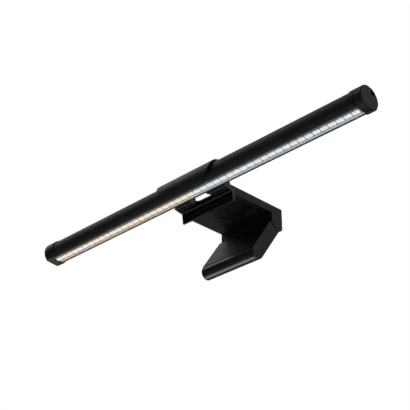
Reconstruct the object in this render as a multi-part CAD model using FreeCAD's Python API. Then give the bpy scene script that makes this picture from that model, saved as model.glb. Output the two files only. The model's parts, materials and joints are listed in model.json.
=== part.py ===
import FreeCAD, Part
import math
import os

# Monitor light bar: a round lamp turns in a C-shaped cradle on a clip that hangs on a screen's
# top edge, with a sprung jaw behind the screen. Millimetres, X along the lamp, Y towards the
# back of the screen, Z up. The origin is the middle of the clip's rest face, where the clip's
# underside lies on the screen's top edge.

V = FreeCAD.Vector

# ---------------------------------------------------------------- driving dimensions
LAMP_LENGTH = 447.0            # over both end caps
TUBE_RADIUS = 12.0
TUBE_WALL = 1.2
TUBE_HALF = 208.5              # half length of the bare tube
AXIS_Y, AXIS_Z = -52.0, 13.2   # lamp axis, seen from the rest face
WINDOW_TILT = -6.7             # window normal leans this far forward of straight down, degrees
WINDOW_CHORD = 9.9             # lamp axis to the flat window
WINDOW_HALF_WIDTH = 5.8

CAP_RADIUS = 12.9
CAP_COLLAR_END = 214.0         # collar, groove and end disc of each cap, measured from mid-length
CAP_GROOVE_WIDTH = 0.8
CAP_EDGE = 0.9
CAP_FLAT = WINDOW_CHORD + 0.3  # lamp axis to the flat under the end disc
CAP_RIB_START, CAP_RIB_PITCH = -4.3, 3.0
CAP_RIB_WIDTH, CAP_RIB_HEIGHT = 1.1, 0.4
CAP_SCREW_Y, CAP_SCREW_Z = 4.4, 8.3
CAP_SCREW_SEAT = 217.0         # from mid-length to under the cap screw's head
CAP_BOSS_LENGTH = 14.0

WARM_PACKAGES, COOL_PACKAGES = 24, 23
LED_SPLIT_X = 1.7              # the warm packages end and the cool ones start here
LED_PITCH = 9.13
LED_SIZE_X, LED_SIZE_Y, LED_HEIGHT = 8.1, 4.6, 0.7
LED_ROW_Y = 1.85               # the row stands behind the middle of the window
EMITTER_SIZE_X, EMITTER_SIZE_Y, EMITTER_PROUD = 2.7, 3.2, 0.15
EMITTER_OFFSET = 2.05          # two emitters stand this far each side of a package's middle

BOARD_LEFT, BOARD_RIGHT = -218.2, 212.5
BOARD_FACE = -6.9              # lamp-frame height of the LED board's lit face
BOARD_THICKNESS = 1.2
CARRIER_THICKNESS = 1.2
LENS_TOP, LENS_BOTTOM = -8.5, -9.4
DRIVER_FLOOR = -2.0
DRIVER_HALF_LENGTH = 62.0
USB_X = 50.0
TOUCH_START, TOUCH_END = 60.0, 150.0

CLIP_HALF_WIDTH = 35.85
CRADLE_HALF_WIDTH = 39.0
CRADLE_INNER, CRADLE_OUTER = 12.75, 14.4
CRADLE_FRONT_ANGLE = 202.0     # cradle's front edge, counted from straight back, over the top
PAD_CLEARANCE = 0.04
SCREEN_GAP = 54.0              # hook's pad to the rear wall
ARM_TOP = 8.7
ARM_UNDERSIDE = 0.4            # the rest pad stands this far below the arm
REST_HALF_X, REST_HALF_Y, REST_SEAT = 32.4, 22.0, 1.0
WALL_THICKNESS = 15.6
WALL_BOTTOM = -17.4
SHELL_WALL = 2.0
HOOK_FRONT = -31.2            # top of the lip's front face
HOOK_PAD = 0.6
HOOK_BOTTOM = -8.2
NOTCH_HALF_WIDTH, NOTCH_CORNER = 12.8, 4.0
NOTCH_BACK = -31.9
CRADLE_WINDOW_RIGHT = 5.6      # the cradle's back is cut away from the notch's left side to here

PIN_Y, PIN_Z, PIN_RADIUS = 36.4, -12.6, 1.5
KNUCKLE_RADIUS = 3.9
SPRING_COIL, SPRING_WIRE = 3.0, 0.5
JAW_LEAN = 34.9                # jaw leans this far forward of straight down, degrees
JAW_TOP_Y, JAW_TOP_Z = 24.2, -11.0   # top corner of the jaw's inner face
JAW_THICKNESS = 15.1
JAW_LENGTH = 52.8
JAW_WALL = 1.8
NOSE_STEP = 0.5                # the nose starts this far below the jaw's inner face
NOSE_START = 44.6              # from the jaw's top to that step
RUNNING_CLEARANCE = 0.05

INNER_RADIUS = TUBE_RADIUS - TUBE_WALL
CAP_END = LAMP_LENGTH / 2
GAP_FRONT, GAP_BACK = -SCREEN_GAP / 2, SCREEN_GAP / 2
WALL_BACK = GAP_BACK + WALL_THICKNESS
NOSE_RADIUS = (JAW_THICKNESS - NOSE_STEP) / 2


# ---------------------------------------------------------------- shape helpers
def box(x, y, z):
    """Box from three (low, high) pairs."""
    return Part.makeBox(x[1] - x[0], y[1] - y[0], z[1] - z[0], V(x[0], y[0], z[0]))


def rod(x, y, z, radius):
    """Cylinder along X from x[0] to x[1]."""
    return Part.makeCylinder(radius, x[1] - x[0], V(x[0], y, z), V(1, 0, 0))


def post(x, y, z, radius):
    """Cylinder along Z from z[0] to z[1]."""
    return Part.makeCylinder(radius, z[1] - z[0], V(x, y, z[0]), V(0, 0, 1))


def rounded_wire(corners):
    """Closed wire in the YZ plane; each corner is (y, z) or (y, z, fillet radius)."""
    points = [V(0, c[0], c[1]) for c in corners]
    radii = [c[2] if len(c) > 2 else 0.0 for c in corners]
    count = len(points)
    ends = []
    for i, point in enumerate(points):
        if radii[i] == 0.0:
            ends.append((point, None, point))
            continue
        back = (points[i - 1] - point).normalize()
        ahead = (points[(i + 1) % count] - point).normalize()
        half = back.getAngle(ahead) / 2
        reach = radii[i] / math.tan(half)
        middle = (back + ahead).normalize() * (radii[i] / math.sin(half) - radii[i])
        ends.append((point + back * reach, point + middle, point + ahead * reach))
    edges = []
    for i, (start, middle, end) in enumerate(ends):
        if middle is not None:
            edges.append(Part.Arc(start, middle, end).toShape())
        following = ends[(i + 1) % count][0]
        if end.distanceToPoint(following) > 1e-6:
            edges.append(Part.LineSegment(end, following).toShape())
    return Part.Wire(edges)


def prism(corners, x):
    """YZ outline pulled along X from x[0] to x[1]."""
    face = Part.Face(rounded_wire(corners))
    face.translate(V(x[0], 0, 0))
    return face.extrude(V(x[1] - x[0], 0, 0))


def sector(inner, outer, start, end, x, centre=(0.0, 0.0)):
    """Part of a ring about an X axis; angles run from +Y towards +Z."""
    def at(radius, angle):
        turn = math.radians(angle)
        return V(x[0], centre[0] + radius * math.cos(turn), centre[1] + radius * math.sin(turn))
    middle = (start + end) / 2
    edges = [
        Part.Arc(at(outer, start), at(outer, middle), at(outer, end)).toShape(),
        Part.LineSegment(at(outer, end), at(inner, end)).toShape(),
        Part.Arc(at(inner, end), at(inner, middle), at(inner, start)).toShape(),
        Part.LineSegment(at(inner, start), at(outer, start)).toShape(),
    ]
    return Part.Face(Part.Wire(edges)).extrude(V(x[1] - x[0], 0, 0))


def fuse(shapes):
    joined = shapes[0].multiFuse(shapes[1:]) if len(shapes) > 1 else shapes[0]
    return joined.removeSplitter()


def cut(shape, tools):
    return shape.cut(tools) if isinstance(tools, list) else shape.cut([tools])


def mirror_x(shape):
    return shape.mirror(V(0, 0, 0), V(1, 0, 0))


def both_sides(shape):
    return [shape, mirror_x(shape)]


def screw(place, way, head_radius, head_height, shank_radius, length):
    """Cross-recessed screw; place is under its head, and way points from its tip to its head."""
    head = Part.makeCylinder(head_radius, head_height)
    shank = Part.makeCylinder(shank_radius, length, V(0, 0, -length))
    arm = 0.55 * head_radius
    slot = 0.2 * head_radius
    depth = (0.4 * head_height, head_height + 1.0)
    recess = [box((-arm, arm), (-slot, slot), depth), box((-slot, slot), (-arm, arm), depth)]
    whole = cut(fuse([head, shank]), recess)
    whole.Placement = FreeCAD.Placement(V(*place), FreeCAD.Rotation(V(0, 0, 1), V(*way)))
    return whole


UP, DOWN = (0, 0, 1), (0, 0, -1)
FORWARD, BACKWARD = (0, -1, 0), (0, 1, 0)
RIGHT = (1, 0, 0)


def in_lamp(shape):
    """From the lamp's own frame (window straight down, axis at the origin) to the part's frame."""
    placed = shape.copy()
    placed.rotate(V(0, 0, 0), V(1, 0, 0), WINDOW_TILT)
    placed.translate(V(0, AXIS_Y, AXIS_Z))
    return placed


def in_jaw(shape):
    """From the jaw's own frame (Y across it from its inner face, Z up its length) to the part's."""
    placed = shape.copy()
    placed.rotate(V(0, 0, 0), V(1, 0, 0), -JAW_LEAN)
    placed.translate(V(0, JAW_TOP_Y, JAW_TOP_Z))
    return placed


def jaw_frame_point(y, z):
    """A part-frame point (y, z) in the jaw's own frame."""
    turn = math.radians(JAW_LEAN)
    dy, dz = y - JAW_TOP_Y, z - JAW_TOP_Z
    return dy * math.cos(turn) - dz * math.sin(turn), dy * math.sin(turn) + dz * math.cos(turn)


def export(name, shapes):
    solids = shapes if isinstance(shapes, list) else [shapes]
    shape = solids[0] if len(solids) == 1 else Part.makeCompound(solids)
    shape.exportStep(os.path.join("parts", name + ".step"))


# ---------------------------------------------------------------- lamp: tube, caps and window
def touch_slot(margin):
    return box((TOUCH_START - margin, TOUCH_END + margin), (-4.7 - margin, 4.7 + margin),
               (INNER_RADIUS - 2.0, TUBE_RADIUS + 1.0))


def usb_slot(half_x, z_low, z_high):
    """Opening through the back of the tube for the power inlet."""
    radius = (z_high - z_low) / 2
    middle = (z_low + z_high) / 2
    reach = (6.0, TUBE_RADIUS + 1.0)
    ends = [Part.makeCylinder(radius, reach[1] - reach[0], V(x, reach[0], middle), V(0, 1, 0))
            for x in (USB_X - half_x + radius, USB_X + half_x - radius)]
    flat = box((USB_X - half_x + radius, USB_X + half_x - radius), reach, (z_low, z_high))
    return fuse([flat] + ends)


def lamp_tube():
    span = (-TUBE_HALF, TUBE_HALF)
    ring = cut(rod(span, 0, 0, TUBE_RADIUS), rod(span, 0, 0, INNER_RADIUS))
    ribs = [box(span, (9.3, 11.2), (-0.9, 0.0)), box(span, (-11.2, -9.3), (-0.9, 0.0))]
    lips = [box(span, (WINDOW_HALF_WIDTH, 7.4), (-WINDOW_CHORD, LENS_TOP)),
            box(span, (-7.4, -WINDOW_HALF_WIDTH), (-WINDOW_CHORD, LENS_TOP))]
    ribs = [shape.common(rod(span, 0, 0, TUBE_RADIUS)) for shape in ribs + lips]
    ribs += both_sides(rod((TUBE_HALF - CAP_BOSS_LENGTH, TUBE_HALF), CAP_SCREW_Y, CAP_SCREW_Z, 2.1))
    tools = [
        box(span, (-13, 13), (-13, -WINDOW_CHORD)),
        box(span, (-WINDOW_HALF_WIDTH, WINDOW_HALF_WIDTH), (-13, -7)),
        box(span, (-6.5, 6.5), (LENS_BOTTOM, LENS_TOP)),
        touch_slot(0.0),
        usb_slot(6.4, -1.4, 3.2),
    ] + both_sides(rod((TUBE_HALF - 16, TUBE_HALF + 1), CAP_SCREW_Y, CAP_SCREW_Z, 1.3))
    return cut(fuse([ring] + ribs), tools)


def cap_flat_ribs():
    """Grip ribs along the flat under the end disc."""
    places = [CAP_RIB_START + i * CAP_RIB_PITCH for i in range(4)]
    half = CAP_RIB_WIDTH / 2
    span = (CAP_COLLAR_END + CAP_GROOVE_WIDTH + 0.6, CAP_END - 0.6)
    return [box(span, (y - half, y + half), (-CAP_FLAT - CAP_RIB_HEIGHT, -CAP_FLAT + 0.5))
            for y in places]


def end_cap():
    """Cap at +X: spigot, collar with the window's cut-out, groove and end disc."""
    groove_end = CAP_COLLAR_END + CAP_GROOVE_WIDTH
    collar = rod((TUBE_HALF, CAP_COLLAR_END), 0, 0, CAP_RADIUS)
    front = [edge for edge in collar.Edges if edge.BoundBox.XMax < TUBE_HALF + 0.01]
    collar = collar.makeChamfer(0.7, front)
    neck = rod((CAP_COLLAR_END, groove_end), 0, 0, CAP_RADIUS - 1.0)
    back_lip = cut(box((TUBE_HALF, groove_end), (0, 14), (-14, -4)),
                   rod((TUBE_HALF - 1, CAP_END), 0, 0, TUBE_RADIUS))
    disc = rod((groove_end, CAP_END), 0, 0, CAP_RADIUS)
    rim = [edge for edge in disc.Edges if len(edge.Vertexes) == 1
           and abs(edge.BoundBox.XMin - CAP_END) < 0.01]
    disc = disc.makeFillet(CAP_EDGE, rim)
    body = fuse([collar, neck, disc])
    body = cut(body, [
        back_lip,
        rod((TUBE_HALF, groove_end), 0, 0, INNER_RADIUS - 0.3),
        box((TUBE_HALF, groove_end), (-6.4, 6.4), (-14, -8.0)),
        box((TUBE_HALF, CAP_END), (-14, 14), (-14, -CAP_FLAT)),
    ])
    spigot = sector(INNER_RADIUS - 1.8, INNER_RADIUS - 0.1, 8, 172, (TUBE_HALF - 8, TUBE_HALF + 0.5))
    screw_room = [
        rod((TUBE_HALF - 9, TUBE_HALF + 0.1), CAP_SCREW_Y, CAP_SCREW_Z, 2.3),
        rod((TUBE_HALF, CAP_END + 1), CAP_SCREW_Y, CAP_SCREW_Z, 1.5),
        rod((CAP_SCREW_SEAT, CAP_END + 1), CAP_SCREW_Y, CAP_SCREW_Z, 2.9),
    ]
    return cut(fuse([body, spigot] + cap_flat_ribs()), screw_room)


def board_pocket():
    """Room for the LED board's end in the left cap's disc."""
    return box((BOARD_LEFT - 0.3, -CAP_COLLAR_END), (-5.2, 7.2), (LENS_BOTTOM, BOARD_FACE + 1.4))


def cap_screws():
    screw_at_right = screw((CAP_SCREW_SEAT, CAP_SCREW_Y, CAP_SCREW_Z), RIGHT, 2.4, 1.5, 1.25, 20.0)
    return both_sides(screw_at_right)


def window_lens():
    """Clear strip that slides in from the end; its middle stands down flush in the window."""
    half = CAP_COLLAR_END - 0.1
    strip = box((-half, half), (-6.4, 6.4), (LENS_BOTTOM, LENS_TOP))
    proud = box((-half, half), (-5.7, 5.7), (-WINDOW_CHORD + 0.15, LENS_BOTTOM))
    return fuse([strip, proud])


def led_board():
    return box((BOARD_LEFT, BOARD_RIGHT), (-5.0, 7.0), (BOARD_FACE, BOARD_FACE + BOARD_THICKNESS))


def warm_places():
    """X of each warm package's middle, from the split to the left."""
    return [LED_SPLIT_X - (i + 0.5) * LED_PITCH for i in range(WARM_PACKAGES)]


def cool_places():
    """X of each cool package's middle, from the split to the right."""
    return [LED_SPLIT_X + (i + 0.5) * LED_PITCH for i in range(COOL_PACKAGES)]


def led_packages():
    y = (LED_ROW_Y - LED_SIZE_Y / 2, LED_ROW_Y + LED_SIZE_Y / 2)
    z = (BOARD_FACE - LED_HEIGHT, BOARD_FACE)
    solids = []
    for x in warm_places() + cool_places():
        package = box((x - LED_SIZE_X / 2, x + LED_SIZE_X / 2), y, z)
        upright = [edge for edge in package.Edges if edge.BoundBox.ZLength > 0.5]
        solids.append(package.makeFillet(0.9, upright))
    return solids


def led_emitters(places):
    y = (LED_ROW_Y - EMITTER_SIZE_Y / 2, LED_ROW_Y + EMITTER_SIZE_Y / 2)
    z = (BOARD_FACE - LED_HEIGHT - EMITTER_PROUD, BOARD_FACE - LED_HEIGHT)
    solids = []
    for middle in places:
        for x in (middle - EMITTER_OFFSET, middle + EMITTER_OFFSET):
            emitter = box((x - EMITTER_SIZE_X / 2, x + EMITTER_SIZE_X / 2), y, z)
            upright = [edge for edge in emitter.Edges if edge.BoundBox.ZLength > 0.1]
            solids.append(emitter.makeFillet(0.8, upright))
    return solids


def rear_reflector():
    half = CAP_COLLAR_END - 0.2
    return prism([(5.4, BOARD_FACE), (7.35, BOARD_FACE), (6.2, LENS_TOP), (5.75, LENS_TOP)],
                 (-half, half))


def front_baffle():
    return prism([(-1.4, BOARD_FACE), (-1.4, BOARD_FACE - 0.3), (-5.4, LENS_TOP), (-6.3, LENS_TOP),
                  (-8.1, BOARD_FACE)], (-TUBE_HALF + 0.2, TUBE_HALF - 0.2))


# ---------------------------------------------------------------- lamp: inside
def carrier():
    """Aluminium channel that stiffens the lamp and takes the boards' heat."""
    span = (-TUBE_HALF + 1, TUBE_HALF - 9)
    low = BOARD_FACE + BOARD_THICKNESS
    base = box(span, (-8.9, 8.9), (low, low + CARRIER_THICKNESS))
    flanges = [box(span, (7.8, 8.9), (low, -1.0)), box(span, (-8.9, -7.8), (low, -1.0))]
    pads = [post(x, y, (low, DRIVER_FLOOR), 1.9) for x, y in driver_screw_places()]
    holes = [post(x, y, (low - 1, DRIVER_FLOOR + 1), 0.9) for x, y in driver_screw_places()]
    lead_holes = [post(x, 0, (low - 1, 0), 1.3) for x in LEAD_FEET]
    return cut(fuse([base] + flanges + pads), holes + lead_holes)


def driver_screw_places():
    reach = DRIVER_HALF_LENGTH - 4
    return [(x, y) for x in (-reach, reach) for y in (-4.6, 4.6)]


LEAD_HEADS, LEAD_FEET = (-60.5, -58.8), (-65.6, -63.2)


def driver_board():
    top = DRIVER_FLOOR + 1.2
    board = box((-DRIVER_HALF_LENGTH, DRIVER_HALF_LENGTH), (-7.0, 7.0), (DRIVER_FLOOR, top))
    return cut(board, [post(x, y, (DRIVER_FLOOR - 1, top + 1), 0.95)
                       for x, y in driver_screw_places()])


def driver_parts():
    """Inductor, capacitors, driver chip and controller on the driver board."""
    top = DRIVER_FLOOR + 1.2
    inductor = box((-42, -34), (-4, 4), (top, top + 4.2))
    capacitors = [post(x, 0, (top, top + 5.4), 2.6) for x in (-26, -18)]
    driver_chip = box((-8, -2), (-2.5, 2.5), (top, top + 1.5))
    controller = box((10, 17), (-3.5, 3.5), (top, top + 1.2))
    chips = [box((x, x + 1.6), (3.4, 4.2), (top, top + 0.6)) for x in range(22, 42, 4)]
    return [inductor] + capacitors + [driver_chip, controller] + chips


def driver_screws():
    return [screw((x, y, DRIVER_FLOOR + 1.2), UP, 1.7, 1.0, 0.85, 3.6)
            for x, y in driver_screw_places()]


def led_leads():
    """Two leads from the driver board's end, bent down to the LED board."""
    top = DRIVER_FLOOR + 1.2
    leads = []
    for x, foot, y in zip(LEAD_HEADS, LEAD_FEET, (-0.6, 0.6)):
        high = top + 2.4
        corners = [V(x, y, top), V(x, y, high), V(foot, y, high),
                   V(foot, y, BOARD_FACE + BOARD_THICKNESS)]
        bend = 0.9
        start, first, second, end = corners
        along = V(-1, 0, 0)
        down = V(0, 0, -1)
        diagonal = bend * (1 - math.sqrt(0.5))
        path = Part.Wire([
            Part.LineSegment(start, first + down * bend).toShape(),
            Part.Arc(first + down * bend, first + (along + down) * diagonal,
                     first + along * bend).toShape(),
            Part.LineSegment(first + along * bend, second - along * bend).toShape(),
            Part.Arc(second - along * bend, second + (down - along) * diagonal,
                     second + down * bend).toShape(),
            Part.LineSegment(second + down * bend, end).toShape(),
        ])
        ring = Part.Wire([Part.makeCircle(0.45, start, V(0, 0, 1))])
        leads.append(path.makePipeShell([ring], True, False))
    return leads


def touch_panel():
    """Plastic strip let in flush along the tube's top, over the touch keys."""
    span = (TOUCH_START + 0.1, TOUCH_END - 0.1)
    skin = sector(INNER_RADIUS - 0.4, TUBE_RADIUS, 67.2, 112.8, span)
    bosses = [post(x, 0, (8.9, INNER_RADIUS), 1.6) for x in touch_screw_places()]
    return cut(fuse([skin] + bosses), [post(x, 0, (8, 10.2), 0.6) for x in touch_screw_places()])


def touch_screw_places():
    return (TOUCH_START + 6, TOUCH_END - 6)


def touch_board():
    board = box((TOUCH_START + 1, TOUCH_END - 1), (-4.4, 4.4), (7.9, 8.9))
    return cut(board, [post(x, 0, (7, 10), 0.65) for x in touch_screw_places()])


def touch_screws():
    return [screw((x, 0, 7.9), DOWN, 1.3, 0.8, 0.58, 2.0) for x in touch_screw_places()]


def touch_springs():
    """Sprung key contacts between the touch board and the panel."""
    return [cut(post(x, 0, (8.9, 10.1), 1.9), post(x, 0, (8.8, 10.4), 1.3))
            for x in (84, 105, 126)]


def touch_leads():
    """Flat cable between the driver board and the touch board."""
    return prism([(-6.2, -0.8), (-5.9, -0.8), (-5.9, 7.5), (-3.6, 7.5), (-3.6, 7.9), (-6.2, 7.9)],
                 (DRIVER_HALF_LENGTH - 1.6, DRIVER_HALF_LENGTH))


def usb_shell():
    """Power inlet's drawn steel shell, closed at the back."""
    low = DRIVER_FLOOR + 1.2
    outer = usb_slot(4.47, low, low + 3.26).common(box((USB_X - 9, USB_X + 9), (4.4, 11.6), (-3, 6)))
    block = box((USB_X - 4.47 + 1.6, USB_X + 4.47 - 1.6), (4.4, 6.5), (low, low + 3.26))
    inner = usb_slot(4.17, low + 0.3, low + 2.96).common(
        box((USB_X - 9, USB_X + 9), (6.0, 13), (-3, 6)))
    return cut(fuse([outer, block]), inner)


def usb_tongue():
    middle = DRIVER_FLOOR + 1.2 + 1.63
    return box((USB_X - 3.35, USB_X + 3.35), (6.5, 10.8), (middle - 0.35, middle + 0.35))


def usb_bezel():
    """Plastic surround that fills the tube's slot round the inlet."""
    low = DRIVER_FLOOR + 1.2
    block = usb_slot(6.3, -1.3, 3.1).common(rod((USB_X - 9, USB_X + 9), 0, 0, TUBE_RADIUS))
    block = block.common(box((USB_X - 9, USB_X + 9), (9.8, 13), (-3, 6)))
    return cut(block, usb_slot(4.57, low - 0.1, low + 3.36))


# ---------------------------------------------------------------- clip: cradle and hook
def cradle():
    """C-shaped holder over the lamp, its front corners cut away in curves."""
    span = (-CRADLE_HALF_WIDTH, CRADLE_HALF_WIDTH)
    axis = (AXIS_Y, AXIS_Z)
    shell = sector(CRADLE_INNER, CRADLE_OUTER, -18, CRADLE_FRONT_ANGLE, span, axis)
    foot = box((-CLIP_HALF_WIDTH, CLIP_HALF_WIDTH), (AXIS_Y + 11.5, -34.0),
               (ARM_TOP, ARM_TOP + 3.6))
    foot = cut(foot, rod(span, AXIS_Y, AXIS_Z, CRADLE_INNER + 0.4))
    heel = foot.makeChamfer(1.6, [edge for edge in foot.Edges
                                  if edge.BoundBox.YMin > -34.1 and edge.BoundBox.ZMin > 12.2])
    body = fuse([shell, heel])
    corner = cut(box((CRADLE_HALF_WIDTH - 11, CRADLE_HALF_WIDTH + 1), (-80, AXIS_Y), (0, 22)),
                 Part.makeCylinder(17.0, 60, V(CRADLE_HALF_WIDTH - 17.0, -90, AXIS_Z + 11.0),
                                   V(0, 1, 0)))
    window = box((-NOTCH_HALF_WIDTH, CRADLE_WINDOW_RIGHT), (AXIS_Y + 3, -30), (-10, AXIS_Z + 1.2))
    end_trim = box((CLIP_HALF_WIDTH, CRADLE_HALF_WIDTH + 1), (AXIS_Y + 10, 0), (-10, AXIS_Z))
    return cut(body, both_sides(corner) + both_sides(end_trim) + [window] + cradle_screw_holes())


def cradle_screw_holes():
    return [post(x, -37.0, (0, ARM_TOP + 3.0), 1.05) for x in (-26.0, 26.0)]


def cradle_pads():
    """Two silicone bands whose grip holds the lamp at its angle."""
    radius = TUBE_RADIUS + PAD_CLEARANCE
    return [sector(radius, CRADLE_INNER, 25, 155, span, (AXIS_Y, AXIS_Z))
            for span in ((-24.0, -14.0), (14.0, 24.0))]


def hook_outline():
    under_arm = ARM_TOP - SHELL_WALL - 0.1
    return [(-42.1, 4.9), (-41.2, 4.1, 0.8), (HOOK_FRONT, 2.4, 0.8), (-29.8, HOOK_BOTTOM, 0.5),
            (GAP_FRONT - HOOK_PAD, HOOK_BOTTOM, 0.5), (GAP_FRONT - HOOK_PAD, ARM_UNDERSIDE),
            (-26.4, ARM_UNDERSIDE), (-26.4, under_arm), (-34.5, under_arm), (-34.5, ARM_TOP),
            (-42.1, ARM_TOP)]


def front_notch():
    """Round-cornered notch between the clip's two feet, right through from below."""
    notch = box((-NOTCH_HALF_WIDTH, NOTCH_HALF_WIDTH), (NOTCH_BACK - 20, NOTCH_BACK), (-2, 12))
    upright = [edge for edge in notch.Edges if edge.BoundBox.ZLength > 13
               and edge.BoundBox.YMin > NOTCH_BACK - 1]
    return notch.makeFillet(NOTCH_CORNER, upright)


def hook_plate():
    """Front hook: a lip before the screen and two feet that reach under the lamp."""
    span = (-CLIP_HALF_WIDTH, CLIP_HALF_WIDTH)
    body = prism(hook_outline(), span)
    body = cut(body, rod(span, AXIS_Y, AXIS_Z, CRADLE_INNER))
    ring = sector(CRADLE_INNER - 1, CRADLE_OUTER + 0.05, -18, 20, span, (AXIS_Y, AXIS_Z))
    screw_holes = [post(x, -37.0, (3, 10), 1.25) for x in (-26.0, 26.0)]
    screw_holes += hook_screw_holes(-30.6, 1.02)
    head_seats = [post(x, -37.0, (0, 4.6), 2.3) for x in (-26.0, 26.0)]
    return cut(body, [ring, front_notch()] + screw_holes + head_seats)


HOOK_SCREW_X = (-21.0, 21.0)


def hook_screw_holes(depth_y, radius):
    return [Part.makeCylinder(radius, -23.0 - depth_y, V(x, depth_y, 4.3), V(0, 1, 0))
            for x in HOOK_SCREW_X]


def hook_pad():
    """Soft strip on the back of the lip, against the screen's front edge."""
    return box((-32.0, 32.0), (GAP_FRONT - HOOK_PAD, GAP_FRONT), (-7.2, -0.3))


def cradle_screws():
    return [screw((x, -37.0, 4.6), DOWN, 2.0, 1.2, 1.0, 6.6) for x in (-26.0, 26.0)]


def hook_screws():
    """Screws from inside the arm, through its front wall, into the hook."""
    return [screw((x, -24.2, 4.3), BACKWARD, 2.0, 1.4, 1.0, 6.0) for x in HOOK_SCREW_X]


# ---------------------------------------------------------------- clip: arm and hinge
def arm_outline():
    """Side view of the arm and its short rear wall."""
    return [(-34.4, ARM_TOP), (-34.4, ARM_TOP - SHELL_WALL), (-26.2, ARM_TOP - SHELL_WALL),
            (-26.2, ARM_UNDERSIDE), (GAP_BACK, ARM_UNDERSIDE), (GAP_BACK, -10.3, 0.6),
            (33.9, -16.9, 0.8), (38.0, WALL_BOTTOM, 1.0), (WALL_BACK, WALL_BOTTOM, 4.3),
            (WALL_BACK, ARM_TOP, 1.4)]


BRACKET_FRONT, BRACKET_BACK = 30.2, 31.7
BRACKET_SCREW_X = (-22.0, 22.0)


def arm_shell():
    """Outer moulding of the arm, open on its underside and at the hinge."""
    side = CLIP_HALF_WIDTH
    body = prism(arm_outline(), (-side, side))
    inside = (-side + SHELL_WALL, side - SHELL_WALL)
    cavity = prism([(-24.2, ARM_TOP - SHELL_WALL), (-24.2, -1.0), (GAP_BACK + 1.0, -1.0),
                    (GAP_BACK - 1.0, -12.0), (34.5, -20.0), (WALL_BACK - SHELL_WALL, -20.0),
                    (WALL_BACK - SHELL_WALL, ARM_TOP - SHELL_WALL, 1.0)], inside)
    underside = prism([(-24.2, -1.0), (-24.2, 2.0), (GAP_BACK + 1.6, 2.0), (GAP_BACK + 1.6, -10.3),
                       (GAP_BACK - 1.0, -10.3), (GAP_BACK - 1.0, -1.0)], inside)
    bosses = [post(x, y, (2.0, ARM_TOP), 2.4) for x, y in arm_screw_places()]
    boss_length = WALL_BACK - 1 - BRACKET_BACK
    bosses += [Part.makeCylinder(2.4, boss_length, V(x, BRACKET_BACK, 1.0), V(0, 1, 0))
               for x in BRACKET_SCREW_X]
    holes = [post(x, y, (1.0, 7.2), 1.0) for x, y in arm_screw_places()]
    holes += [Part.makeCylinder(0.95, 8.0, V(x, BRACKET_BACK - 1, 1.0), V(0, 1, 0))
              for x in BRACKET_SCREW_X]
    holes += hook_screw_holes(-27.0, 1.25)
    pin_seat = rod((-side + 0.8, side - 0.8), PIN_Y, PIN_Z, PIN_RADIUS)
    return cut(fuse([cut(body, [cavity, underside])] + bosses), holes + [pin_seat, front_notch()])


def arm_screw_places():
    return [(x, y) for x in (-27.0, 27.0) for y in (-18.0, 14.0)]


def arm_plate():
    """Plate that closes the arm's underside and the inner face of its rear wall."""
    side = CLIP_HALF_WIDTH - SHELL_WALL - 0.05
    body = prism([(-24.1, ARM_UNDERSIDE), (GAP_BACK, ARM_UNDERSIDE), (GAP_BACK, -10.2),
                  (GAP_BACK + 1.5, -10.2), (GAP_BACK + 1.5, 2.0, 0.3), (-24.1, 2.0)], (-side, side))
    tray = box((-REST_HALF_X, REST_HALF_X), (-REST_HALF_Y, REST_HALF_Y), (0.0, REST_SEAT))
    seats = [post(x, y, (0.0, REST_SEAT + 0.6), 2.1) for x, y in arm_screw_places()]
    holes = [post(x, y, (0.0, 3.0), 1.2) for x, y in arm_screw_places()]
    return cut(body, [tray] + seats + holes)


def arm_screws():
    """Flat-headed screws under the rest pad, up into the arm shell's bosses."""
    return [screw((x, y, REST_SEAT + 0.6), DOWN, 2.0, 0.6, 0.98, 5.2)
            for x, y in arm_screw_places()]


def rest_pad():
    """Silicone sheet let into the arm's underside; its lower face lies on the screen."""
    return box((-REST_HALF_X, REST_HALF_X), (-REST_HALF_Y, REST_HALF_Y), (0.0, REST_SEAT))


def hinge_bracket():
    """Bent steel bracket in the rear wall, with an ear at each end of the hinge pin."""
    web = box((-31.0, 31.0), (BRACKET_FRONT, BRACKET_BACK), (-6.0, 5.0))
    ear = prism([(BRACKET_FRONT, 2.0), (BRACKET_FRONT, -8.0), (32.6, -14.6, 1.0),
                 (PIN_Y, -16.8, 2.0), (40.4, -14.6, 2.0), (40.4, -6.0, 2.0), (34.0, 2.0)],
                (29.5, 31.0))
    body = fuse([web] + both_sides(ear))
    screw_holes = [Part.makeCylinder(1.2, 4, V(x, BRACKET_FRONT - 1, 1.0), V(0, 1, 0))
                   for x in BRACKET_SCREW_X]
    return cut(body, screw_holes + [rod((-33, 33), PIN_Y, PIN_Z, PIN_RADIUS)])


def bracket_screws():
    return [screw((x, BRACKET_FRONT, 1.0), FORWARD, 2.1, 1.2, 0.93, 8.0) for x in BRACKET_SCREW_X]


def hinge_pin():
    half = CLIP_HALF_WIDTH - 0.9
    return rod((-half, half), PIN_Y, PIN_Z, PIN_RADIUS)


def hinge_washers():
    """Nylon washers between the jaw's knuckles and the bracket's ears."""
    ring = cut(rod((28.3, 29.4), PIN_Y, PIN_Z, 3.6), rod((28, 30), PIN_Y, PIN_Z, PIN_RADIUS + 0.05))
    return both_sides(ring)


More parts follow.
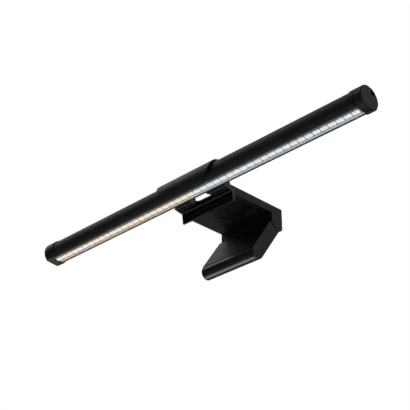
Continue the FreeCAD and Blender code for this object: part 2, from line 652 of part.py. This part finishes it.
def hinge_spring(start, end):
    """Torsion spring round the pin; one leg bears on the rear wall, the other on the jaw."""
    turns = 4
    coil = Part.Wire(Part.makeHelix((end - start) / turns, end - start, SPRING_COIL))
    ring = Part.Wire([Part.makeCircle(SPRING_WIRE, V(SPRING_COIL, 0, 0), V(0, 1, 0))])
    body = coil.makePipeShell([ring], True, True)
    body.rotate(V(0, 0, 0), V(0, 1, 0), 90)
    body.translate(V(start, PIN_Y, PIN_Z))
    foot = PIN_Z - SPRING_COIL
    wall_leg = Part.makeCylinder(SPRING_WIRE, 4.0, V(start, PIN_Y, foot), V(0, 1, 0))
    jaw_leg = Part.makeCylinder(SPRING_WIRE, 5.2, V(end, PIN_Y, foot), V(0, -1, 0))
    return fuse([body, wall_leg, jaw_leg])


# ---------------------------------------------------------------- jaw
def jaw_outline():
    """Side view across the jaw: square at the hinge end, half round at the nose."""
    return [(0.0, 0.0, 0.6), (0.0, -NOSE_START, 0.25), (NOSE_STEP, -NOSE_START),
            (NOSE_STEP, -JAW_LENGTH, NOSE_RADIUS - 0.01),
            (JAW_THICKNESS, -JAW_LENGTH, NOSE_RADIUS - 0.01), (JAW_THICKNESS, 0.0, 0.6)]


def nose_band(outer, inner, x):
    """Band round the nose, from just under the step to the jaw's outer face."""
    centre = (NOSE_STEP + NOSE_RADIUS, NOSE_RADIUS - JAW_LENGTH)
    return sector(inner, outer, -177, 5, x, centre)


def jaw_shell():
    side = CLIP_HALF_WIDTH
    wide = (-side, side)
    inside = (-side + JAW_WALL, side - JAW_WALL)
    body = prism(jaw_outline(), wide)
    cavity = box(inside, (JAW_WALL, JAW_THICKNESS - JAW_WALL), (COVER_END + 1.0, -JAW_WALL))
    cover_seat = box(inside, (-1.0, JAW_WALL), (COVER_END, -1.5))
    band_seat = nose_band(NOSE_RADIUS + 1.0, NOSE_RADIUS - 1.6, inside)
    neck_slot = box((-28.5, 28.5), (7.6, JAW_THICKNESS - JAW_WALL), (-4.0, 1.0))
    bosses = [jaw_post(x, z, 5.3, JAW_THICKNESS - 1.0, 2.9) for x, z in jaw_screw_places()]
    holes = [jaw_post(x, z, 5.0, JAW_THICKNESS + 1.0, 1.15) for x, z in jaw_screw_places()]
    seats = [jaw_post(x, z, SCREW_SEAT, JAW_THICKNESS + 1.0, 2.2) for x, z in jaw_screw_places()]
    shell = fuse([cut(body, [cavity, cover_seat, band_seat, neck_slot])] + bosses)
    return cut(shell, holes + seats)


SCREW_SEAT = 13.0              # from the jaw's inner face to under its screws' heads
COVER_END = 2.4 - NOSE_START   # height of the cover's lower end in the jaw's frame


def jaw_post(x, z, low, high, radius):
    """Cylinder across the jaw, from low to high."""
    return Part.makeCylinder(radius, high - low, V(x, low, z), V(0, 1, 0))


def jaw_screw_places():
    return [(x, z) for x in (-30.0, 30.0) for z in (-8.0, -38.0)]


def jaw_cover():
    """Plate that closes the jaw's inner face."""
    side = CLIP_HALF_WIDTH - JAW_WALL - 0.1
    body = box((-side, side), (0.0, JAW_WALL), (COVER_END + 0.1, -1.6))
    posts = [jaw_post(x, z, JAW_WALL, 5.2, 2.2) for x, z in jaw_screw_places()]
    holes = [jaw_post(x, z, 1.2, 6.0, 0.98) for x, z in jaw_screw_places()]
    return cut(fuse([body] + posts), holes)


def jaw_screws():
    """Screws from the jaw's outer face into the cover's posts."""
    return [screw((x, SCREW_SEAT, z), BACKWARD, 2.0, 1.3, 0.95, 11.0)
            for x, z in jaw_screw_places()]


def jaw_weight():
    """Steel counterweight that keeps the clip down on the screen."""
    return box((-25.0, 25.0), (3.0, 9.6), (COVER_END + 1.7, -8.0))


def weight_tape():
    """Foam tape that holds the counterweight against the cover."""
    return box((-24.0, 24.0), (JAW_WALL, 3.0), (COVER_END + 2.7, -9.0))


def nose_pad():
    """Soft roll round the nose, which presses on the screen's back."""
    side = CLIP_HALF_WIDTH - JAW_WALL - 0.05
    return nose_band(NOSE_RADIUS, NOSE_RADIUS - 1.6, (-side, side))


def jaw_frame():
    """Steel plate in the jaw with a curled knuckle at each side of the springs."""
    pin_y, pin_z = jaw_frame_point(PIN_Y, PIN_Z)
    solids = []
    for span in ((-28.2, -10.0), (10.0, 28.2)):
        knuckle = rod(span, pin_y, pin_z, KNUCKLE_RADIUS)
        neck = box(span, (11.6, 13.1), (-4.0, pin_z))
        solids += [knuckle, neck]
    plate = box((-28.2, 28.2), (11.6, 13.1), (-30.0, -2.2))
    body = fuse([plate] + solids)
    screw_relief = [box((27.4 * side - 1.6, 27.4 * side + 1.6), (11, 14), (-12, -4))
                    for side in (-1, 1)]
    bore = rod((-30, 30), pin_y, pin_z, PIN_RADIUS + RUNNING_CLEARANCE)
    return cut(body, [bore] + screw_relief)


# ---------------------------------------------------------------- all nodes
def lamp_nodes():
    cap = end_cap()
    return {
        "lamp_tube": lamp_tube(), "cap_screws": cap_screws(),
        "right_end_cap": cap, "left_end_cap": cut(mirror_x(cap), board_pocket()),
        "window_lens": window_lens(), "led_board": led_board(), "led_packages": led_packages(),
        "warm_emitters": led_emitters(warm_places()), "cool_emitters": led_emitters(cool_places()),
        "rear_reflector": rear_reflector(), "front_baffle": front_baffle(), "carrier": carrier(),
        "driver_board": driver_board(), "driver_parts": driver_parts(),
        "driver_screws": driver_screws(), "led_leads": led_leads(), "touch_panel": touch_panel(),
        "touch_board": touch_board(), "touch_screws": touch_screws(),
        "touch_springs": touch_springs(), "touch_leads": touch_leads(),
        "usb_shell": usb_shell(), "usb_tongue": usb_tongue(), "usb_bezel": usb_bezel(),
    }


def clip_nodes():
    left_spring = hinge_spring(-9.0, -1.0)
    return {
        "cradle": cradle(), "cradle_pads": cradle_pads(), "hook_plate": hook_plate(),
        "hook_pad": hook_pad(), "cradle_screws": cradle_screws(), "hook_screws": hook_screws(),
        "arm_shell": arm_shell(), "arm_plate": arm_plate(), "arm_screws": arm_screws(),
        "rest_pad": rest_pad(),
        "hinge_bracket": hinge_bracket(), "bracket_screws": bracket_screws(),
        "hinge_pin": hinge_pin(), "hinge_washers": hinge_washers(),
        "left_hinge_spring": left_spring, "right_hinge_spring": mirror_x(left_spring),
    }


def jaw_nodes():
    return {
        "jaw_shell": jaw_shell(), "jaw_cover": jaw_cover(), "jaw_screws": jaw_screws(),
        "jaw_weight": jaw_weight(), "weight_tape": weight_tape(), "nose_pad": nose_pad(),
        "jaw_frame": jaw_frame(),
    }


def placed(shapes, place):
    return [place(shape) for shape in shapes] if isinstance(shapes, list) else place(shapes)


os.makedirs("parts", exist_ok=True)
for node, shapes in lamp_nodes().items():
    export(node, placed(shapes, in_lamp))
for node, shapes in clip_nodes().items():
    export(node, shapes)
for node, shapes in jaw_nodes().items():
    export(node, placed(shapes, in_jaw))
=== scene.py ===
import json
import math

import bmesh
import bpy
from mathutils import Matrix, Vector

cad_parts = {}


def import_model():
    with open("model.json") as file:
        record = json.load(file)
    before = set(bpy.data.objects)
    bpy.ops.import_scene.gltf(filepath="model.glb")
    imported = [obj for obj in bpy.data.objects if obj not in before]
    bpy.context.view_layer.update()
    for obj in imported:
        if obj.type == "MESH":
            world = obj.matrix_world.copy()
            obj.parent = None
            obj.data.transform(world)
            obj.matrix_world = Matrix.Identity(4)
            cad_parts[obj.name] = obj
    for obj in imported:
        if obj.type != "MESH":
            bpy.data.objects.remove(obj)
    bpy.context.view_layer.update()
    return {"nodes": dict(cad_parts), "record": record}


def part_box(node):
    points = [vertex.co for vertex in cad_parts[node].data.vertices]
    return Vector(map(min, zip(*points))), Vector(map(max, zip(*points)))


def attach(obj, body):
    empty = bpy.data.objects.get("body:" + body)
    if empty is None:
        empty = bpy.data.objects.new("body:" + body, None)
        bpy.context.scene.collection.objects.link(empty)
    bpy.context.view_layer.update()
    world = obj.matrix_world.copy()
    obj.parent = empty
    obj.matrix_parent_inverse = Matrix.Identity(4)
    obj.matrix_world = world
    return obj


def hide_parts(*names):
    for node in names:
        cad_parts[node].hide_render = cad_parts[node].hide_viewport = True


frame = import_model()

MM = 0.001
WHITE = (1.0, 1.0, 1.0)
WARM, COOL = (1.0, 0.78, 0.60), (0.74, 0.87, 0.97)   # colours of the two halves' light

# ---------------------------------------------------------------- view and studio
CAMERA_AZIMUTH, CAMERA_ELEVATION = 45.09, -28.59   # degrees; the lamp is seen from below
CAMERA_DISTANCE = 1.1354
CAMERA_LENS, CAMERA_SENSOR = 98.42, 36.0
CAMERA_AIM = Vector((-0.0038, -0.0297, 0.0021))
CAMERA_NEAR, CAMERA_FAR = 0.05, 40.0

FLOOR_DROP = 1.15              # the floor is this far below the lamp, in metres
FLOOR_RADIUS = 7.0
FLOOR_SIDES = 96
BACKDROP_WHITE = 1.0
SKY_TOP, SKY_SIDE, SKY_LOW = 0.10, 0.045, 0.02

# name: (direction it shines from, distance, (width, height), watts, spread in degrees)
SOFTBOXES = {
    "up_left": ((-0.65, -0.18, 0.75), 2.0, (1.3, 1.3), 7.0, 180.0),
    "right_back": ((0.70, 0.50, 0.50), 4.5, (2.8, 2.8), 20.0, 180.0),
    "under_left": ((-0.62, 0.07, -0.78), 1.1, (0.55, 0.7), 4.4, 180.0),
    "behind": ((-0.30, 0.74, 0.60), 2.4, (1.1, 0.7), 4.5, 40.0),
}

# ---------------------------------------------------------------- edges and pads, in mm
MOULDED_EDGE, THIN_EDGE = 0.35, 0.12
EDGE_WIDTHS = {
    "arm_shell": MOULDED_EDGE, "jaw_shell": MOULDED_EDGE, "cradle": MOULDED_EDGE,
    "hook_plate": MOULDED_EDGE, "left_end_cap": MOULDED_EDGE, "right_end_cap": MOULDED_EDGE,
    "jaw_cover": THIN_EDGE, "arm_plate": THIN_EDGE, "front_baffle": THIN_EDGE,
}
WELD_DISTANCE = 0.002
FLAT_ANGLE, EDGE_ANGLE = 0.4, 28.0     # degrees: faces flatter than this join, sharper edges round

# Pad profiles are (inset from the outline, height over the pad's back), from back to face.
REST_PROFILE = [
    (0.15, 0.0), (0.0, 0.15), (0.0, 0.55), (0.06, 0.77), (0.22, 0.93), (0.45, 1.0),
    (2.2, 1.0), (2.35, 0.92), (2.6, 0.88), (2.85, 0.92), (3.0, 1.0),
    (4.2, 1.0), (4.35, 0.92), (4.6, 0.88), (4.85, 0.92), (5.0, 1.0), (8.0, 1.0),
]
HOOK_PROFILE = [
    (0.1, 0.0), (0.0, 0.1), (0.0, 0.3), (0.05, 0.45), (0.15, 0.55), (0.3, 0.6),
    (1.5, 0.6), (1.65, 0.52), (1.9, 0.52), (2.05, 0.6), (2.6, 0.6),
]
PAD_CORNER, SMALLEST_CORNER = 0.8, 0.2
TUBE_RADIUS = 12.0
NOSE_OUTER, NOSE_THICKNESS, NOSE_ROLL = 7.3, 1.6, 0.25
NOSE_ANGLES = (-211.9, -29.9)          # degrees from +Y towards +Z, with the jaw shut
GRIP_RADII, GRIP_ANGLES, GRIP_ROLL = (12.04, 12.75), (25.0, 155.0), 0.2
GRIP_SPANS = ((-24.0, -14.0), (14.0, 24.0))
BAND_STEP = 3.0                        # degrees between a band's rings


# ---------------------------------------------------------------- material building
NOISE_ROUGHNESS = 0.55
# Sockets of a colour Mix node: its number and vector sockets have the other places.
MIX_SHARE, MIX_FIRST, MIX_SECOND, MIX_RESULT = 0, 6, 7, 2


class Graph:
    """The nodes of one material, with the object's own metres as texture coordinates."""

    def __init__(self, name):
        self.material = bpy.data.materials.new(name)
        self.material.use_nodes = True
        self.tree = self.material.node_tree
        self.shader = self.tree.nodes["Principled BSDF"]
        self.metres = self.add("ShaderNodeTexCoord").outputs["Object"]

    def add(self, kind, settings=None, inputs=None):
        node = self.tree.nodes.new(kind)
        for key, value in (settings or {}).items():
            setattr(node, key, value)
        for key, value in (inputs or {}).items():
            if isinstance(value, bpy.types.NodeSocket):
                self.tree.links.new(value, node.inputs[key])
            else:
                node.inputs[key].default_value = value
        return node

    def finish(self, **sockets):
        """Sets or links the shader's sockets; names use _ for a space."""
        for key, value in sockets.items():
            socket = self.shader.inputs[key.replace("_", " ")]
            if isinstance(value, bpy.types.NodeSocket):
                self.tree.links.new(value, socket)
            else:
                socket.default_value = value
        return self.material

    def stretched(self, x, y, z):
        """The object's metres, scaled per axis."""
        return self.add("ShaderNodeMapping", inputs={"Vector": self.metres, "Scale": (x, y, z)}
                        ).outputs["Vector"]

    def noise(self, per_metre, detail=3.0, vector=None):
        return self.add("ShaderNodeTexNoise",
                        inputs={"Vector": vector or self.metres, "Scale": per_metre,
                                "Detail": detail, "Roughness": NOISE_ROUGHNESS}).outputs["Fac"]

    def cells(self, per_metre, feature="F1"):
        return self.add("ShaderNodeTexVoronoi", {"feature": feature},
                        {"Vector": self.metres, "Scale": per_metre}).outputs["Distance"]

    def spread(self, value, low, high, source=(0.3, 0.7)):
        """Value, which runs over source, turned into a number between low and high."""
        return self.add("ShaderNodeMapRange",
                        inputs={"Value": value, "From Min": source[0], "From Max": source[1],
                                "To Min": low, "To Max": high}).outputs["Result"]

    def blend(self, share, first, second):
        """Colour between two colours or colour sockets."""
        node = self.add("ShaderNodeMix", {"data_type": "RGBA"})
        for index, value in ((MIX_SHARE, share), (MIX_FIRST, first), (MIX_SECOND, second)):
            if isinstance(value, bpy.types.NodeSocket):
                self.tree.links.new(value, node.inputs[index])
            else:
                node.inputs[index].default_value = value
        return node.outputs[MIX_RESULT]

    def sum(self, first, second, factor):
        """First plus second times factor."""
        return self.add("ShaderNodeMath", {"operation": "MULTIPLY_ADD"},
                        {0: second, 1: factor, 2: first}).outputs[0]

    def bump(self, height, depth_mm):
        return self.add("ShaderNodeBump",
                        inputs={"Height": height, "Distance": depth_mm * MM,
                                "Strength": 1.0}).outputs["Normal"]


def grey(level, tint=WHITE):
    return (level * tint[0], level * tint[1], level * tint[2], 1.0)


def anodised():
    """Satin black tube: bead-blasted grain over faint lines left by the extrusion die."""
    g = Graph("black_anodised")
    grain = g.noise(5200.0, 2.0)
    streaks = g.noise(1.0, 3.0, vector=g.stretched(6.0, 900.0, 900.0))
    clouds = g.noise(22.0, 4.0)
    colour = g.blend(g.spread(clouds, 0.0, 1.0), grey(0.011), grey(0.013, (1.0, 1.0, 1.02)))
    rough = g.sum(g.spread(streaks, 0.50, 0.57), clouds, 0.05)
    height = g.sum(grain, streaks, 0.5)
    return g.finish(Base_Color=colour, Roughness=rough, Specular_IOR_Level=0.4,
                    Normal=g.bump(height, 0.003))


def moulded(name, level, low, high, grain_per_metre, depth_mm, specular=0.4):
    """Spark-textured moulded plastic."""
    g = Graph(name)
    grain = g.cells(grain_per_metre, "SMOOTH_F1")
    clouds = g.noise(30.0, 4.0)
    colour = g.blend(g.spread(clouds, 0.0, 1.0), grey(level * 0.86), grey(level * 1.14))
    rough = g.sum(g.spread(grain, low, high, (0.0, 0.8)), clouds, 0.06)
    return g.finish(Base_Color=colour, Roughness=rough, Specular_IOR_Level=specular,
                    Normal=g.bump(grain, depth_mm))


def gloss():
    """Glossy black moulding with faint smears and orange peel."""
    g = Graph("gloss_black")
    smears = g.noise(60.0, 5.0, vector=g.stretched(1.0, 2.2, 1.0))
    peel = g.noise(420.0, 1.0)
    colour = g.blend(g.spread(smears, 0.0, 1.0), grey(0.002), grey(0.003))
    return g.finish(Base_Color=colour, Roughness=g.spread(smears, 0.08, 0.13),
                    Specular_IOR_Level=0.25, Normal=g.bump(peel, 0.004))


def rubber():
    """Smooth black silicone that holds a little dust."""
    g = Graph("black_rubber")
    grain = g.noise(2600.0, 3.0)
    dust = g.noise(90.0, 5.0)
    colour = g.blend(g.spread(dust, 0.0, 1.0, (0.4, 0.75)), grey(0.008), grey(0.013))
    return g.finish(Base_Color=colour, Roughness=g.spread(dust, 0.23, 0.29),
                    Specular_IOR_Level=0.4, Sheen_Weight=0.05, Normal=g.bump(grain, 0.002))


def clear_window():
    """Clear extruded strip with faint flow lines along it."""
    g = Graph("clear_window")
    flow = g.noise(1.0, 2.0, vector=g.stretched(8.0, 260.0, 260.0))
    return g.finish(Base_Color=(0.95, 0.97, 0.98, 1.0), Roughness=g.spread(flow, 0.05, 0.1),
                    Alpha=0.12, Specular_IOR_Level=0.5, Normal=g.bump(flow, 0.004))


def white_plastic(name, level, tint=WHITE, glow=0.0):
    """White plastic or solder mask; glow stands for the row's light spilling on it."""
    g = Graph(name)
    grain = g.noise(2200.0, 2.0)
    clouds = g.noise(70.0, 4.0)
    colour = g.blend(g.spread(clouds, 0.0, 1.0), grey(level * 0.94, tint), grey(level, tint))
    return g.finish(Base_Color=colour, Roughness=g.spread(clouds, 0.34, 0.44),
                    Emission_Color=colour, Emission_Strength=glow, Normal=g.bump(grain, 0.008))


def emitter(name, phosphor, glow):
    """Phosphor-covered chip: brightest over the die, with a granular surface."""
    g = Graph(name)
    grains = g.cells(3200.0)
    colour = g.blend(g.spread(grains, 0.0, 1.0, (0.0, 0.7)), grey(1.0, phosphor),
                     grey(0.86, phosphor))
    light = g.blend(g.spread(grains, 0.0, 1.0, (0.0, 0.8)), grey(1.0, glow), grey(0.9, glow))
    return g.finish(Base_Color=colour, Roughness=0.5, Emission_Color=light,
                    Emission_Strength=1.0, Normal=g.bump(grains, 0.01))


def led_body(split_x):
    """White packages that glow in their own light: warm left of split_x, cool right of it."""
    g = Graph("led_body")
    grain = g.noise(1800.0, 2.0)
    across = g.add("ShaderNodeSeparateXYZ", inputs={0: g.metres}).outputs["X"]
    side = g.add("ShaderNodeMath", {"operation": "GREATER_THAN"},
                 {0: across, 1: split_x}).outputs[0]
    return g.finish(Base_Color=g.blend(grain, grey(0.5), grey(0.6)), Roughness=0.35,
                    Emission_Color=g.blend(side, grey(0.62, WARM), grey(0.62, COOL)),
                    Emission_Strength=1.0, Normal=g.bump(grain, 0.006))


def circuit_board(name, mask, copper):
    """Solder mask over tracks."""
    g = Graph(name)
    tracks = g.add("ShaderNodeTexBrick", {"offset": 0.5},
                   {"Vector": g.metres, "Scale": 180.0, "Mortar Size": 0.06}).outputs["Fac"]
    speckle = g.noise(900.0, 2.0)
    colour = g.blend(tracks, mask, copper)
    return g.finish(Base_Color=colour, Roughness=g.spread(speckle, 0.3, 0.42),
                    Normal=g.bump(tracks, 0.035))


def metal(name, colour, low, high, stretch, depth_mm):
    """Bare metal with brushing along X."""
    g = Graph(name)
    lines = g.noise(1.0, 4.0, vector=g.stretched(*stretch))
    clouds = g.noise(120.0, 3.0)
    tone = g.blend(g.spread(clouds, 0.0, 1.0), tuple(c * 0.85 for c in colour) + (1.0,),
                   colour + (1.0,))
    return g.finish(Base_Color=tone, Metallic=1.0, Roughness=g.spread(lines, low, high),
                    Normal=g.bump(lines, depth_mm))


def plain_texture(name, colour, low, high, per_metre, depth_mm):
    """One colour with a fine mottle and grain."""
    g = Graph(name)
    grain = g.noise(per_metre, 3.0)
    tone = g.blend(g.spread(grain, 0.0, 1.0), tuple(c * 0.8 for c in colour) + (1.0,),
                   colour + (1.0,))
    return g.finish(Base_Color=tone, Roughness=g.spread(grain, low, high),
                    Normal=g.bump(grain, depth_mm))


LED_SPLIT = (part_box("warm_emitters")[1][0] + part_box("cool_emitters")[0][0]) / 2
MATERIALS = {
    "black_anodised": anodised(),
    "black_plastic": moulded("black_plastic", 0.010, 0.40, 0.50, 2100.0, 0.004),
    "gloss_black": gloss(),
    "clear_window": clear_window(),
    "white_reflector": white_plastic("white_reflector", 0.6, glow=0.45),
    "white_board": white_plastic("white_board", 0.07, (0.7, 0.93, 1.0)),
    "green_board": circuit_board("green_board", (0.01, 0.09, 0.035, 1), (0.05, 0.2, 0.07, 1)),
    "warm_emitter": emitter("warm_emitter", (0.5, 0.43, 0.3), WARM),
    "cool_emitter": emitter("cool_emitter", (0.47, 0.48, 0.4), COOL),
    "led_body": led_body(LED_SPLIT),
    "bare_aluminium": metal("bare_aluminium", (0.72, 0.73, 0.74), 0.28, 0.45,
                            (12.0, 1400.0, 1400.0), 0.01),
    "steel": metal("steel", (0.55, 0.56, 0.57), 0.22, 0.4, (500.0, 900.0, 900.0), 0.006),
    "black_steel": metal("black_steel", (0.03, 0.03, 0.031), 0.35, 0.5,
                         (500.0, 900.0, 900.0), 0.006),
    "chip_black": moulded("chip_black", 0.02, 0.45, 0.6, 3000.0, 0.01),
    "lead_wire": plain_texture("lead_wire", (0.5, 0.02, 0.015), 0.35, 0.5, 900.0, 0.01),
    "flat_cable": plain_texture("flat_cable", (0.72, 0.66, 0.5), 0.3, 0.5, 700.0, 0.01),
    "black_rubber": rubber(),
    "nylon": plain_texture("nylon", (0.72, 0.7, 0.62), 0.4, 0.5, 600.0, 0.01),
    "foam": plain_texture("foam", (0.08, 0.08, 0.08), 0.8, 0.95, 1500.0, 0.15),
}


def dress_cad_nodes():
    """Gives every CAD node the material of the slot that the record names for it."""
    for part in frame["record"]["subparts"]:
        for slot in frame["nodes"][part["node"]].material_slots:
            slot.material = MATERIALS[part["material_slot"]]


# ---------------------------------------------------------------- edges
def smooth_shading():
    """Modifier group that shades every face smooth and leaves the CAD mesh as it is."""
    group = bpy.data.node_groups.new("smooth_shading", "GeometryNodeTree")
    for way in ("INPUT", "OUTPUT"):
        group.interface.new_socket("Geometry", in_out=way, socket_type="NodeSocketGeometry")
    start = group.nodes.new("NodeGroupInput")
    shade = group.nodes.new("GeometryNodeSetShadeSmooth")
    end = group.nodes.new("NodeGroupOutput")
    group.links.new(start.outputs["Geometry"], shade.inputs["Geometry"])
    group.links.new(shade.outputs["Geometry"], end.inputs["Geometry"])
    return group


def soften(node, width_mm, shading):
    """Rounds a node's sharp edges with modifiers, after joining its points and flat faces."""
    piece = frame["nodes"][node]
    piece.modifiers.new("shading", "NODES").node_group = shading
    weld = piece.modifiers.new("weld", "WELD")
    weld.merge_threshold = WELD_DISTANCE * MM
    flat = piece.modifiers.new("flat", "DECIMATE")
    flat.decimate_type = "DISSOLVE"
    flat.angle_limit = math.radians(FLAT_ANGLE)
    bevel = piece.modifiers.new("bevel", "BEVEL")
    bevel.width = width_mm * MM
    bevel.segments = 2
    bevel.limit_method = "ANGLE"
    bevel.angle_limit = math.radians(EDGE_ANGLE)
    bevel.miter_outer = "MITER_ARC"
    piece.modifiers.new("normals", "WEIGHTED_NORMAL")


# ---------------------------------------------------------------- soft pads
def rounded_rectangle(half_u, half_v, radius, steps=5):
    """Points of a round-cornered rectangle about the origin."""
    points = []
    for quarter, (side_u, side_v) in enumerate(((1, 1), (-1, 1), (-1, -1), (1, -1))):
        for step in range(steps + 1):
            angle = (quarter + step / steps) * math.pi / 2
            points.append((side_u * (half_u - radius) + radius * math.cos(angle),
                           side_v * (half_v - radius) + radius * math.sin(angle)))
    return points


def sheet_rings(node, thin, outward, profile):
    """Rings of a flat pad in a node's box, thin along one axis and facing outward along it."""
    low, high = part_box(node)
    centre = (low + high) / 2
    half = (high - low) / 2
    axis_u, axis_v = [axis for axis in range(3) if axis != thin]
    rings = []
    for inset, height in profile:
        radius = max(PAD_CORNER - inset, SMALLEST_CORNER) * MM
        outline = rounded_rectangle(half[axis_u] - inset * MM, half[axis_v] - inset * MM, radius)
        ring = []
        for u, v in outline:
            point = centre.copy()
            point[axis_u] += u
            point[axis_v] += v
            point[thin] += outward * (height * MM - half[thin])
            ring.append(point)
        rings.append(ring)
    return rings


def band_rings(centre, radii_mm, span, angles, roll_mm):
    """Rings of a band about an X axis; roll_mm rounds its section's corners."""
    inner, outer = (radius * MM for radius in radii_mm)
    half_x = (span[1] - span[0]) / 2
    half_r = (outer - inner) / 2
    section = rounded_rectangle(half_x, half_r, roll_mm * MM, steps=4)
    count = math.ceil((angles[1] - angles[0]) / BAND_STEP)
    rings = []
    for i in range(count + 1):
        turn = math.radians(angles[0] + (angles[1] - angles[0]) * i / count)
        away = Vector((0.0, math.cos(turn), math.sin(turn)))
        rings.append([Vector(((span[0] + span[1]) / 2 + x, centre[0], centre[1]))
                      + away * (inner + half_r + r) for x, r in section])
    return rings


def soft_piece(name, stacks, node, body):
    """Closed skins through stacks of rings, standing for a black rubber CAD node."""
    mesh = bpy.data.meshes.new(name)
    work = bmesh.new()
    for rings in stacks:
        rows = [[work.verts.new(point) for point in ring] for ring in rings]
        for lower, upper in zip(rows, rows[1:]):
            for i in range(len(lower)):
                work.faces.new((lower[i - 1], lower[i], upper[i], upper[i - 1]))
        work.faces.new(rows[0])
        work.faces.new(rows[-1])
    bmesh.ops.recalc_face_normals(work, faces=work.faces)
    for face in work.faces:
        face.smooth = True
    work.to_mesh(mesh)
    work.free()
    piece = bpy.data.objects.new(name, mesh)
    bpy.context.scene.collection.objects.link(piece)
    piece.modifiers.new("normals", "WEIGHTED_NORMAL")
    mesh.materials.append(MATERIALS["black_rubber"])
    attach(piece, body)
    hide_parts(node)


def flat_pads():
    """Silicone sheets with rolled edges and a grooved border: under the arm, behind the lip."""
    facing_down = sheet_rings("rest_pad", 2, -1, REST_PROFILE)
    facing_back = sheet_rings("hook_pad", 1, 1, HOOK_PROFILE)
    soft_piece("arm_rest_pad", [facing_down], "rest_pad", "clip")
    soft_piece("hook_grip_pad", [facing_back], "hook_pad", "clip")


def nose_roll():
    """Silicone roll round the jaw's nose, which fills its node's box downwards and forwards."""
    low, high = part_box("nose_pad")
    centre = (low.y + NOSE_OUTER * MM, low.z + NOSE_OUTER * MM)
    radii = (NOSE_OUTER - NOSE_THICKNESS, NOSE_OUTER)
    rings = band_rings(centre, radii, (low.x, high.x), NOSE_ANGLES, NOSE_ROLL)
    soft_piece("nose_roll", [rings], "nose_pad", "jaw")


def cradle_grips():
    """Silicone bands between the cradle and the tube, about the lamp's axis."""
    low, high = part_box("lamp_tube")
    axis = ((low.y + high.y) / 2, high.z - TUBE_RADIUS * MM)
    bands = []
    for start, end in GRIP_SPANS:
        span = (start * MM, end * MM)
        bands.append(band_rings(axis, GRIP_RADII, span, GRIP_ANGLES, GRIP_ROLL))
    soft_piece("cradle_grips", bands, "cradle_pads", "clip")


# ---------------------------------------------------------------- studio
def world():
    """Plain bright backdrop; the object itself is lit by a soft sky, brightest overhead."""
    scene_world = bpy.data.worlds.new("studio")
    scene_world.use_nodes = True
    tree = scene_world.node_tree
    tree.nodes.clear()
    add = tree.nodes.new
    coords = add("ShaderNodeTexCoord")
    split = add("ShaderNodeSeparateXYZ")
    tree.links.new(coords.outputs["Generated"], split.inputs[0])
    ramp = add("ShaderNodeValToRGB")
    ramp.color_ramp.interpolation = "EASE"
    stops = ramp.color_ramp.elements
    stops[0].position, stops[0].color = 0.0, grey(SKY_LOW)
    stops[1].position, stops[1].color = 1.0, grey(SKY_TOP)
    middle = stops.new(0.5)
    middle.color = grey(SKY_SIDE)
    height = add("ShaderNodeMapRange")
    height.inputs["From Min"].default_value = -1.0
    tree.links.new(split.outputs["Z"], height.inputs["Value"])
    tree.links.new(height.outputs["Result"], ramp.inputs["Fac"])
    sky = add("ShaderNodeBackground")
    tree.links.new(ramp.outputs["Color"], sky.inputs["Color"])
    white = add("ShaderNodeBackground")
    white.inputs["Color"].default_value = grey(BACKDROP_WHITE)
    path = add("ShaderNodeLightPath")
    choose = add("ShaderNodeMixShader")
    tree.links.new(path.outputs["Is Camera Ray"], choose.inputs["Fac"])
    tree.links.new(sky.outputs[0], choose.inputs[1])
    tree.links.new(white.outputs[0], choose.inputs[2])
    out = add("ShaderNodeOutputWorld")
    tree.links.new(choose.outputs[0], out.inputs["Surface"])
    bpy.context.scene.world = scene_world


def floor():
    """Pale floor with a faint mottle."""
    mesh = bpy.data.meshes.new("floor")
    work = bmesh.new()
    bmesh.ops.create_circle(work, cap_ends=True, segments=FLOOR_SIDES, radius=FLOOR_RADIUS)
    work.to_mesh(mesh)
    work.free()
    piece = bpy.data.objects.new("floor", mesh)
    piece.location.z = -FLOOR_DROP
    bpy.context.scene.collection.objects.link(piece)
    g = Graph("floor_paint")
    mottle = g.noise(3.0, 5.0)
    mesh.materials.append(g.finish(
        Base_Color=g.blend(g.spread(mottle, 0.0, 1.0), grey(0.8), grey(0.86)),
        Roughness=g.spread(mottle, 0.7, 0.85)))


def softbox(name, direction, distance, size, power, spread):
    """Area light that shines on the lamp from a direction; the camera doesn't see it."""
    light = bpy.data.lights.new(name, "AREA")
    light.shape = "RECTANGLE"
    light.size, light.size_y = size
    light.energy = power
    light.spread = math.radians(spread)
    lamp = bpy.data.objects.new(name, light)
    bpy.context.scene.collection.objects.link(lamp)
    way = Vector(direction).normalized()
    lamp.location = way * distance
    lamp.rotation_mode = "QUATERNION"
    lamp.rotation_quaternion = way.to_track_quat("Z", "Y")
    lamp.visible_camera = False


def camera():
    """Camera at the viewing angle: in front of the lamp, to its right and below it."""
    data = bpy.data.cameras.new("camera")
    data.lens = CAMERA_LENS
    data.sensor_width = CAMERA_SENSOR
    data.clip_start, data.clip_end = CAMERA_NEAR, CAMERA_FAR
    eye = bpy.data.objects.new("camera", data)
    bpy.context.scene.collection.objects.link(eye)
    turn, rise = math.radians(CAMERA_AZIMUTH), math.radians(CAMERA_ELEVATION)
    back = Vector((math.sin(turn) * math.cos(rise),
                   -math.cos(turn) * math.cos(rise),
                   math.sin(rise)))
    eye.location = CAMERA_AIM + back * CAMERA_DISTANCE
    eye.rotation_mode = "QUATERNION"
    eye.rotation_quaternion = back.to_track_quat("Z", "Y")
    bpy.context.scene.camera = eye


camera()
world()
floor()
for light_name, setting in SOFTBOXES.items():
    softbox(light_name, *setting)
dress_cad_nodes()
smooth_group = smooth_shading()
for node_name, edge_width in EDGE_WIDTHS.items():
    soften(node_name, edge_width, smooth_group)
flat_pads()
nose_roll()
cradle_grips()
bpy.context.scene.view_settings.view_transform = "Standard"
